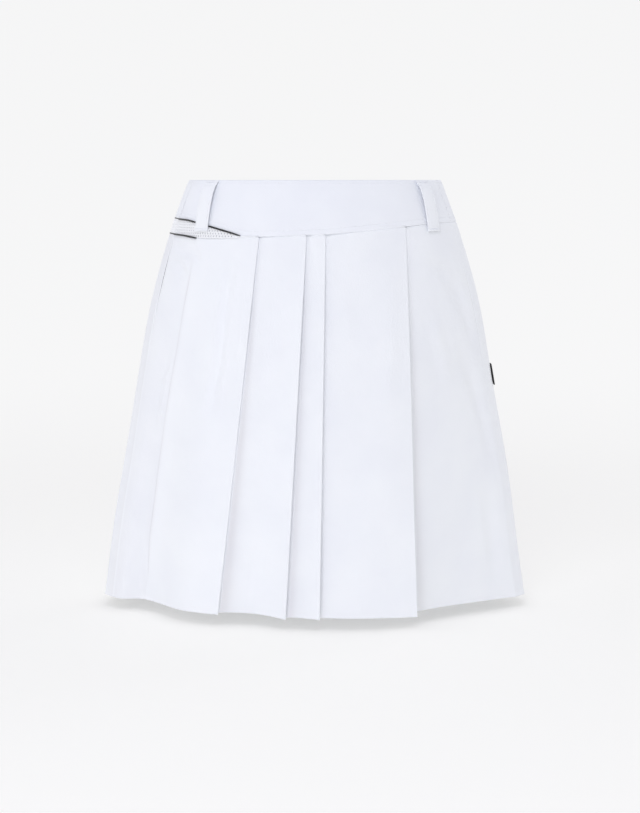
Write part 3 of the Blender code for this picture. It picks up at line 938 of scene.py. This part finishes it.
def pulled_in(places, edge):
    """How deep a side seam is pulled in, in mm, and how far each side gapes: most near the left's top."""
    left = places[:, edge, 0] < 0
    height = places[:, edge, 2]
    deep = 0.03 + np.where(left, 0.9, 0.3) * np.exp(-(((height + 105) / 42) ** 2))
    return deep, np.where(left, GAPE, 0.05) * np.exp(-(((height + 92) / 30) ** 2))


def allowances(places, painted_shades):
    """Adds the side seams' allowances to a piece, with painted shade on their edges where a seam gapes."""
    run = places[:, 1:] - places[:, :-1]
    run = run / np.linalg.norm(run, axis=2, keepdims=True)
    outward = sideways(places[..., :2])
    ends, end_painted_shades = [], []
    for edge, sign in ((0, -1), (-1, 1)):
        out = np.zeros_like(places[:, 0])
        out[:, :2] = outward[:, edge]
        deep, gape = pulled_in(places, edge)
        pull = out * deep[:, None]
        ahead = run[:, edge] * sign
        places[:, edge] -= ahead * gape[:, None]
        beside = places[:, edge] - ahead * 0.3 - pull * 0.7
        places[:, edge] -= pull
        steps = [beside, places[:, edge]]
        steps += [places[:, edge] + ahead * along - out * inwards for along, inwards in ALLOWANCE]
        ends.append(np.stack(steps if sign > 0 else steps[::-1], axis=1))
        # Painted shade on the turned-in edges, darker where the seam gapes.
        shares = np.array([0.0, 0.9] + [1.0] * len(ALLOWANCE))[::sign]
        end_painted_shades.append(gape[:, None] / GAPE * shares)
    return (
        np.concatenate([ends[0], places[:, 1:-1], ends[1]], axis=1),
        np.concatenate([end_painted_shades[0], painted_shades[:, 1:-1], end_painted_shades[1]], axis=1),
    )


def make_half(places, painted_shades, node):
    """One half of the skirt, with its rolled rims and seam allowances, for the solid it replaces."""
    places, painted_shades = allowances(places, painted_shades)
    bm = cloth_grid(curl(places, ROW_SHARES, ROW_INSETS, ROW_LIFTS), painted_shades)
    return piece(bm, node + "_cloth", skirt_twill, [node], WALL)


def make_skirt():
    places, painted_shades = front_plan(ROW_SHARES)
    front = make_half(*lapped(creased(places, FRONT_CREASES), painted_shades), "skirt_front")
    seam_angle = angle_of(SIDE_SEAM)
    angles = np.linspace(seam_angle + SEAM_TURN, 360 - seam_angle - SEAM_TURN, 260)
    across = np.sin(np.radians(angles))
    top = seam(across, "skirt")
    heights = top + (HEM - top) * ROW_SHARES[:, None]
    plan = body(angles[None, :], heights)
    places = np.concatenate([plan, heights[..., None]], axis=-1)
    places = soften(places, 10)
    places[..., :2] -= sideways(places[..., :2]) * CLOTH / 2
    places = creased(places, BACK_CREASES)
    to_seam = np.linalg.norm(np.diff(places, axis=1), axis=2)[:, ::-1].cumsum(axis=1)[:, ::-1]
    to_seam = np.hstack([to_seam, np.zeros((len(places), 1))])
    return front, make_half(places, BACK_SHADE * np.exp(-to_seam / BACK_SHADE_WIDE), "skirt_back")


skirt_front, skirt_back = make_skirt()

# %% [markdown]
# ## The waistband
#
# A skirt's waistband is two layers with stiffening between, turned in at every edge. Its section is a
# slim closed loop: up the outside, over a rounded top, down the inside and round the bottom. Swept from
# side seam to side seam it gives each half, and the open ends are then filled. Two shallow grooves lie
# where the rows of stitches pull the layers together.

# %% Waistband
LOWER_ROW = 5.0         # mm that the lower row of stitches lies above the band's bottom edge
UPPER_ROW = -2.8        # mm: the upper row's height
BAND_WAVE = 0.25        # mm that the band's face waves in and out, as stretch cloth does
BAND_COLUMNS = {"waistband_front": 150, "waistband_back": 170}
SECTION = (
    # share of the way down, mm above that, and inset in mm
    (1, 0.0, 0.60), (1, 0.07, 0.30), (1, 0.25, 0.08), (1, 0.6, 0.0), (1, 2.4, 0.0), (1, 4.2, 0.0),
    (1, 4.65, 0.09), (1, LOWER_ROW, 0.14), (1, 5.35, 0.09), (1, 5.8, 0.0),
    (0.72, 0, 0.0), (0.54, 0, 0.0), (0.36, 0, 0.0), (0, -6.5, 0.0),
    (0, -3.5, 0.08), (0, -3.1, 0.20), (0, UPPER_ROW, 0.25), (0, -2.5, 0.21), (0, -1.7, 0.22),
    (0, -0.8, 0.42), (0, -0.2, 0.78), (0, 0.0, 1.15), (0, -0.2, 1.5), (0, -0.8, 1.8), (0, -3.0, 1.95),
    (0.30, 0, 1.95), (0.50, 0, 1.95), (0.70, 0, 1.95), (0.90, 0, 1.95), (1, 0.5, 1.85), (1, 0.1, 1.30),
    (1, 0.0, 0.60),
)


def closed_sweep(places):
    """A grid whose first and last rows meet, joined into a tube with its ends filled."""
    bm = cloth_grid(places)
    bmesh.ops.remove_doubles(bm, verts=bm.verts[:], dist=1e-6)
    rims = [edge for edge in bm.edges if edge.is_boundary]
    bmesh.ops.holes_fill(bm, edges=rims, sides=0)
    return bm


def band_face(angles, heights, inset):
    """Places on the waistband in plan, inset from its outside, and their outward directions."""
    bottom = seam(np.sin(np.radians(angles)), "band")
    plan = body(angles, heights)
    outward = sideways(plan)
    wave = BAND_WAVE * np.sin(angles / 13.0 + heights / 19.0) * np.sin(heights / bottom * math.pi)
    return plan - outward * (inset - wave)[..., None], outward


def band_angles(node, count, clear=0.0):
    """Angles from side seam to side seam, with some degrees kept clear at both."""
    seam_angle = angle_of(SIDE_SEAM)
    clear += SEAM_TURN
    if node == "waistband_front":
        return np.linspace(-seam_angle + clear, seam_angle - clear, count)
    return np.linspace(seam_angle + clear, 360 - seam_angle - clear, count)


def make_waistband():
    made = []
    share, above, inset = (np.array(values, float)[:, None] for values in zip(*SECTION))
    for node, count in BAND_COLUMNS.items():
        angles = band_angles(node, count)[None, :]
        heights = seam(np.sin(np.radians(angles)), "band") * share + above
        plan, _ = band_face(angles, heights, inset)
        places = np.concatenate([plan, heights[..., None]], axis=-1)
        made.append(piece(
            closed_sweep(places[::-1]), node + "_cloth", band_twill, [node],
        ))
    return made


waistbands = make_waistband()

# %% [markdown]
# ## Stitches
#
# A machine stitch is a short length of thread that dips into the cloth at both ends. Each one here is a
# small pointed bead, laid along a path and half sunk in its groove. They are far too fine for a modifier
# to be worth it, so one bmesh holds all the rows of a piece, with a few dozen faces a stitch.

# %% Stitches
STITCH = 2.7            # mm long
STITCH_STEP = 3.3       # mm from one to the next
THREAD = 0.2            # mm, half its thickness


def sew(name, paths):
    """One piece with a bead for each stitch. A path is its points and outward directions in mm, the
    length of a bead, the step between two, and whether the beads lie across the path."""
    bead = bmesh.new()
    bmesh.ops.create_uvsphere(bead, u_segments=6, v_segments=4, radius=1)
    shape = bpy.data.meshes.new("bead")
    bead.to_mesh(shape)
    bead.free()
    bm = bmesh.new()
    for points, outward, long, step, across in paths:
        passed = np.linalg.norm(np.diff(points, axis=0), axis=1).cumsum()
        passed = np.concatenate([[0], passed])
        count = int(passed[-1] // step)
        for at in (np.arange(count) + 0.5) * passed[-1] / count:
            middle, ahead, out = (
                np.array([np.interp(place, passed, rows[:, axis]) for axis in range(3)])
                for place, rows in ((at, points), (at + 0.3, points), (at, outward))
            )
            along = middle - ahead
            along /= np.linalg.norm(along)
            side = np.cross(out, along)
            if across:
                along, side = side, -along
            axes = np.column_stack([side * THREAD, out * THREAD, along * long / 2]) * MM
            turned = Matrix(axes).to_4x4()
            turned.translation = Vector(middle * MM)
            laid = shape.copy()
            laid.transform(turned)
            bm.from_mesh(laid)
            bpy.data.meshes.remove(laid)
    bpy.data.meshes.remove(shape)
    bmesh.ops.recalc_face_normals(bm, faces=bm.faces[:])
    return piece(bm, name, thread)


def in_space(plan, outward, heights):
    """Points and outward directions in the part's own axes, in mm, from places in plan."""
    points = np.column_stack([plan[:, 0], -plan[:, 1], heights])
    return points, np.column_stack([outward[:, 0], -outward[:, 1], np.zeros(len(outward))])


def sew_waistband():
    """Both rows of each half, each bead half sunk in its groove."""
    made = []
    for node in BAND_COLUMNS:
        angles = band_angles(node, 240, 0.5)
        lower = seam(np.sin(np.radians(angles)), "band") + LOWER_ROW
        paths = []
        for heights, inset in ((lower, 0.1), (np.full_like(angles, UPPER_ROW), 0.2)):
            plan, outward = band_face(angles, heights, np.full_like(angles, inset))
            paths.append((*in_space(plan, outward, heights), STITCH, STITCH_STEP, False))
        made.append(sew(node + "_stitches", paths))
    return made


waistband_stitches = sew_waistband()

# %% [markdown]
# ## The mesh wedge
#
# Between the waistband and the skirt's top edge lies a wedge of knitted mesh. It is cut from a flat grid
# of small cells. Every second cell is inset and its middle deleted, which leaves holes in the staggered
# rows of the real knit, and the cells past the wedge's edges are deleted or pulled onto them. Only then
# is the grid bent round the hip. A thin pale lining lies behind the holes, so that they show.
# The lining's grey is painted shade, so that the holes read darker.

# %% Mesh wedge
CELL_WIDE = 1.5         # mm: the holes of a row stand two cells apart
CELL_TALL = 2.5         # mm from row to row
HOLE_RIM = 0.41         # mm of yarn left round each hole's cell
TAPE_BACK = 0.2         # mm the mesh lies behind the cloth's face
LINING_BACK = 1.1
LINING_CELL = 3.0       # mm wide
WEDGE_MIDDLE = -46.0    # the height at which the wedge's length is measured
FLAT_FOOT = -55.5       # the flat grid's lower edge
FLAT_TALL = 20.0


def wedge_ends(node):
    """The angles at which a half of the wedge starts and ends."""
    seam_angle = angle_of(SIDE_SEAM)
    if node == "mesh_tape_front":
        return -seam_angle + SEAM_TURN, angle_of(TAPE_END)
    return 180 - angle_of(TAPE_END), 360 - seam_angle - SEAM_TURN


def wedge_edges(angle):
    """Heights of the wedge's upper and lower edge."""
    across = np.sin(np.radians(angle))
    return seam(across, "band") - 0.1, seam(across, "skirt") + 0.1


def bent(bm, first, last, wide, inset):
    """Bends a flat grid, with x along the wedge and z up in mm, round the hip."""
    for vert in bm.verts:
        angle = first + (last - first) * vert.co.x / wide
        high, low = wedge_edges(angle)
        height = min(max(vert.co.z, low), high)
        beside = body(np.array([angle - 0.5, angle, angle + 0.5]), np.full(3, height))
        x, depth = beside[1] - sideways(beside)[1] * inset
        vert.co = (x * MM, -depth * MM, height * MM)


def flat_cells(first, last, cell_wide):
    """A flat grid over the wedge, in mm, and its width."""
    run = body(np.linspace(first, last, 60), np.full(60, WEDGE_MIDDLE))
    wide = np.linalg.norm(np.diff(run, axis=0), axis=1).sum()
    columns, rows = round(wide / cell_wide), round(FLAT_TALL / CELL_TALL)
    bm = bmesh.new()
    bmesh.ops.create_grid(bm, x_segments=columns, y_segments=rows, size=0.5)
    for vert in bm.verts:
        vert.co = ((vert.co.x + 0.5) * wide, 0, FLAT_FOOT + (vert.co.y + 0.5) * rows * CELL_TALL)
    outside = []
    for face in bm.faces:
        place = face.calc_center_median()
        high, low = wedge_edges(first + (last - first) * place.x / wide)
        if not low - CELL_TALL / 2 < place.z < high + CELL_TALL / 2:
            outside.append(face)
    bmesh.ops.delete(bm, geom=outside, context="FACES")
    return bm, wide


def make_wedge():
    made = []
    for node in ("mesh_tape_front", "mesh_tape_back"):
        first, last = wedge_ends(node)
        bm, wide = flat_cells(first, last, CELL_WIDE)
        holes = []
        for face in bm.faces:
            place = face.calc_center_median()
            column_number = math.floor(place.x / CELL_WIDE)
            row_number = math.floor((place.z - FLAT_FOOT) / CELL_TALL)
            if (column_number + row_number) % 2 == 0:
                holes.append(face)
        bmesh.ops.inset_individual(bm, faces=holes, thickness=HOLE_RIM)
        bmesh.ops.delete(bm, geom=holes, context="FACES")
        bent(bm, first, last, wide, TAPE_BACK)
        knit = piece(bm, node + "_knit", mesh_knit, [node], 0.45)
        rounded = knit.modifiers.new("rounded holes", "SUBSURF")
        rounded.levels = rounded.render_levels = 1
        lining, wide = flat_cells(first, last, LINING_CELL)
        bent(lining, first, last, wide, LINING_BACK)
        made.append((knit, piece(lining, node + "_lining", lining_knit, (), 0.3)))
    return made


wedges = make_wedge()

# %% [markdown]
# ## The piping
#
# Black satin piping is a cord inside a folded bias strip, so it is a round bead that stands proud of
# the seam. Each run is a small circle carried along its seam, tapered where it runs out at the wedge's
# point.

# %% Piping
PIPING = 0.82           # mm, half its thickness
PIPING_OUT = 0.62       # mm that its middle stands off the cloth
PIPING_SIDES = 12
TIP_SHARE = 0.1         # share of its length over which it tapers
TIP = 0.45              # to this share of its thickness


def along_seam(angles, name):
    """Points that follow a seam just outside the cloth: [(x, depth, height)]."""
    height = seam(np.sin(np.radians(angles)), name)
    plan = body(angles, height)
    plan = plan + sideways(plan) * PIPING_OUT
    return np.column_stack([plan, height])


def cord(points, radii):
    """A closed round cord through points, from a swept circle."""
    run = np.gradient(points, axis=0)
    run /= np.linalg.norm(run, axis=1)[:, None]
    out = np.column_stack([-run[:, 1], run[:, 0], np.zeros(len(run))])
    out /= np.linalg.norm(out, axis=1)[:, None]
    up = np.cross(run, out)
    turn = np.linspace(0, 2 * math.pi, PIPING_SIDES + 1)[:, None, None]
    ring = (np.cos(turn) * out + np.sin(turn) * up) * np.asarray(radii)[None, :, None]
    return closed_sweep((points + ring)[::-1])


def make_piping():
    seam_angle = angle_of(SIDE_SEAM)
    for part, name, end in (("upper", "band", TAPE_END), ("lower", "skirt", LOWER_PIPING_END)):
        tip = angle_of(end)
        runs = (
            ("front", np.linspace(-seam_angle + SEAM_TURN, tip, 60)),
            ("back", np.linspace(360 - seam_angle - SEAM_TURN, 180 - tip, 70)),
        )
        for half, angles in runs:
            to_tip = np.clip(np.linspace(1, 0, len(angles)) / TIP_SHARE, 0, 1)
            radii = PIPING * (TIP + (1 - TIP) * np.sqrt(to_tip))
            bm = cord(along_seam(angles, name), radii)
            if half == "back":
                bmesh.ops.recalc_face_normals(bm, faces=bm.faces[:])
            piece(bm, f"piping_{part}_{half}_cord", satin_cord, [f"piping_{part}_{half}"])


make_piping()

# %% [markdown]
# ## Belt loops
#
# A belt loop is a strip folded in three and edge-stitched, sewn down at both ends with a dense bar of
# thread. Its section is a slim rounded bar, carried along the loop's own stand-off from the band: tight
# at the top, bowed out between, and turned under at the foot.

# %% Belt loops
LOOP_WIDTH = 16.0
LOOP_WALL = 1.5
LOOP_BOWED = 0.35       # mm that its side edges lie behind its middle
STITCHED = 6.1          # mm from the loop's middle to its rows of stitches
BAR_HEIGHTS = (-2.6, -45.6)
BAR_HALF = 6.8          # mm, half the length of a bar
BAR_STITCH = 1.9        # mm, the length of its threads, which lie up and down
BAR_STEP = 0.55
# How far across the skirt a loop's top and its foot are, and whether it is on the back.
Loop = namedtuple("Loop", "name top foot back")
LOOPS = (
    Loop("belt_loop_front_left", -0.785, -0.762, False),
    Loop("belt_loop_front_right", 0.820, 0.802, False),
    Loop("belt_loop_back_left", -0.370, -0.360, True),
    Loop("belt_loop_back_right", 0.370, 0.360, True),
)
STAND_HEIGHTS = (-0.4, -2.5, -6.0, -12.0, -19.0, -27.0, -34.0, -40.0, -44.0, -47.6)
STAND_OFFS = (0.35, 1.2, 2.9, 3.9, 3.9, 3.2, 2.3, 1.5, 0.8, 0.4)
LOOP_FOOT = -47.5


def loop_frame(loop, height):
    """A loop's middle in plan, its outward direction and its sideways direction, at one height."""
    middle = angle_of(loop.top + (loop.foot - loop.top) * min(height / LOOP_FOOT, 1.0), loop.back)
    near = body(np.array([middle - 1, middle, middle + 1]), np.full(3, float(height)))
    out = sideways(near)[1]
    return near[1], out, np.array([out[1], -out[0]])


def loop_off(height):
    """How far a loop stands off the band."""
    return column(STAND_HEIGHTS, STAND_OFFS, np.array(height, float)).item()


def loop_section():
    """A slim bar with round edges, and a groove for each row of stitches: (sideways, outwards)."""
    half, r = LOOP_WIDTH / 2, LOOP_WALL / 2
    rounding = np.radians(np.arange(-90, 91, 30))
    right = [(half - r + r * math.cos(turn), r * math.sin(turn)) for turn in rounding]
    face = [(STITCHED + 0.5, r), (STITCHED, r - 0.1), (STITCHED - 0.5, r), (0.0, r - 0.06)]
    left = [(-x, y) for x, y in (right + face[:3])[::-1]]
    return right + face + left + [(0.0, -r), right[0]]


def loop_place(loop, height, across, outward):
    """A place on a loop, and its outward direction: across the strip and out from its middle, in mm."""
    middle, out, side = loop_frame(loop, height)
    off = loop_off(height) + LOOP_WALL / 2 + outward - (2 * across / LOOP_WIDTH) ** 2 * LOOP_BOWED
    return middle + out * off + side * across, out


def sew_loop(loop):
    """Both edge rows and the two bars of dense thread that hold a loop down."""
    paths = []
    heights = np.linspace(-4.5, -43.5, 40)
    for across in (-STITCHED, STITCHED):
        places = [loop_place(loop, height, across, LOOP_WALL / 2 - 0.08) for height in heights]
        plan, outward = (np.array(rows) for rows in zip(*places))
        paths.append((*in_space(plan, outward, heights), STITCH, STITCH_STEP, False))
    acrosses = np.linspace(-BAR_HALF, BAR_HALF, 20)
    for height in BAR_HEIGHTS:
        places = [loop_place(loop, height, across, LOOP_WALL / 2) for across in acrosses]
        plan, outward = (np.array(rows) for rows in zip(*places))
        paths.append((*in_space(plan, outward, np.full(20, height)), BAR_STITCH, BAR_STEP, True))
    return sew(loop.name + "_stitches", paths)


def make_loops():
    made = []
    heights = np.concatenate([
        np.linspace(-0.4, -6, 9), np.linspace(-8, -38, 14), np.linspace(-39.5, -47.6, 10),
    ])
    for loop in LOOPS:
        section = [
            [(*loop_place(loop, height, across, outward)[0], height) for height in heights]
            for across, outward in loop_section()
        ]
        bm = closed_sweep(np.array(section))
        bmesh.ops.recalc_face_normals(bm, faces=bm.faces[:])
        strip = piece(bm, loop.name + "_strip", loop_twill, [loop.name])
        made.append((strip, sew_loop(loop)))
    return made


loops = make_loops()

# %% [markdown]
# ## The blank badge
#
# A small soft badge is pressed onto the right side seam. Its outline is a rounded square, kept blank.
# Rings run from its middle over a softly rounded rim to its back.

# %% Badge
BADGE_HEIGHT = -186.0
BADGE_TALL = 21.0
BADGE_WIDE = 20.0
BADGE_SQUARE = 3.2      # how square it is: 2 is an ellipse
BADGE_ANGLE = 91.5      # degrees, where it is pressed on
SPAN = 3.0              # degrees each way over which the cloth beside it is measured
RINGS = (               # share of the way out, height off the cloth in mm
    (0.0, 1.32), (0.4, 1.32), (0.8, 1.30), (0.92, 1.22), (0.98, 1.02), (1.0, 0.75), (0.985, 0.45),
    (0.9, 0.35), (0.0, 0.35),
)


def make_badge():
    places = []
    for share, off in RINGS:
        row = []
        for turn in np.linspace(0, 2 * math.pi, 49):
            c, s = math.cos(turn), math.sin(turn)
            reach = (abs(c) ** BADGE_SQUARE + abs(s) ** BADGE_SQUARE) ** (-1 / BADGE_SQUARE) * share
            height = BADGE_HEIGHT + s * reach * BADGE_TALL / 2
            beside = body(BADGE_ANGLE + np.array([-SPAN, SPAN]), np.full(2, height))
            degrees = c * reach * BADGE_WIDE / 2 * 2 * SPAN / np.linalg.norm(beside[1] - beside[0])
            near = body(BADGE_ANGLE + degrees + np.array([-2.0, 0.0, 2.0]), np.full(3, height))
            row.append((*(near[1] + sideways(near)[1] * off), height))
        places.append(row)
    bm = cloth_grid(np.array(places))
    bmesh.ops.remove_doubles(bm, verts=bm.verts[:], dist=1e-6)
    bmesh.ops.recalc_face_normals(bm, faces=bm.faces[:])
    piece(bm, "side_badge_tab", soft_badge, ["side_badge"])


make_badge()

# %% [markdown]
# ## What each cloth was cut from
#
# Every cloth is listed with the flat size of what shows of it in metres: the width of the cut at its
# widest, its length, and its area where the cut isn't a plain rectangle. The skirt's halves are
# measured along their grids, which are the flat pattern folded up: pleats, hem and seam edges and all.
# A waistband half shows one of its two layers and a loop one of its three, and the report adds the rest.

# %% Cuts
Cut = namedtuple("Cut", "made width length area held hangs_from with_pieces")


def surface(made):
    """The area of a piece's own mesh, before its wall is added, in square metres."""
    return sum(face.area for face in made.data.polygons)


BANDS = ["waistband_front", "waistband_back"]
CUTS = [
    Cut(skirt_front, 0.687, 0.393, surface(skirt_front), "hung", BANDS[:1], []),
    Cut(skirt_back, 0.599, 0.393, surface(skirt_back), "hung", BANDS[1:], []),
]
for made, rows, width in zip(waistbands, waistband_stitches, (0.312, 0.430)):
    CUTS.append(Cut(made, width, 0.052, surface(made) / 2, "stretched", [], [rows]))
for (knit, lining), band, width in zip(wedges, BANDS, (0.088, 0.147)):
    CUTS.append(Cut(knit, width, 0.0145, surface(lining), "stretched", [band], [lining]))
for (strip, rows), band in zip(loops, BANDS[:1] * 2 + BANDS[1:] * 2):
    CUTS.append(Cut(strip, 0.016, 0.048, None, "folded", [band], [rows]))

for cut in CUTS:
    area = cut.area or cut.width * cut.length
    print(f"{cut.made.name}: {cut.width / MM:.0f} x {cut.length / MM:.1f} mm, {area * 10000:.1f} cm2")
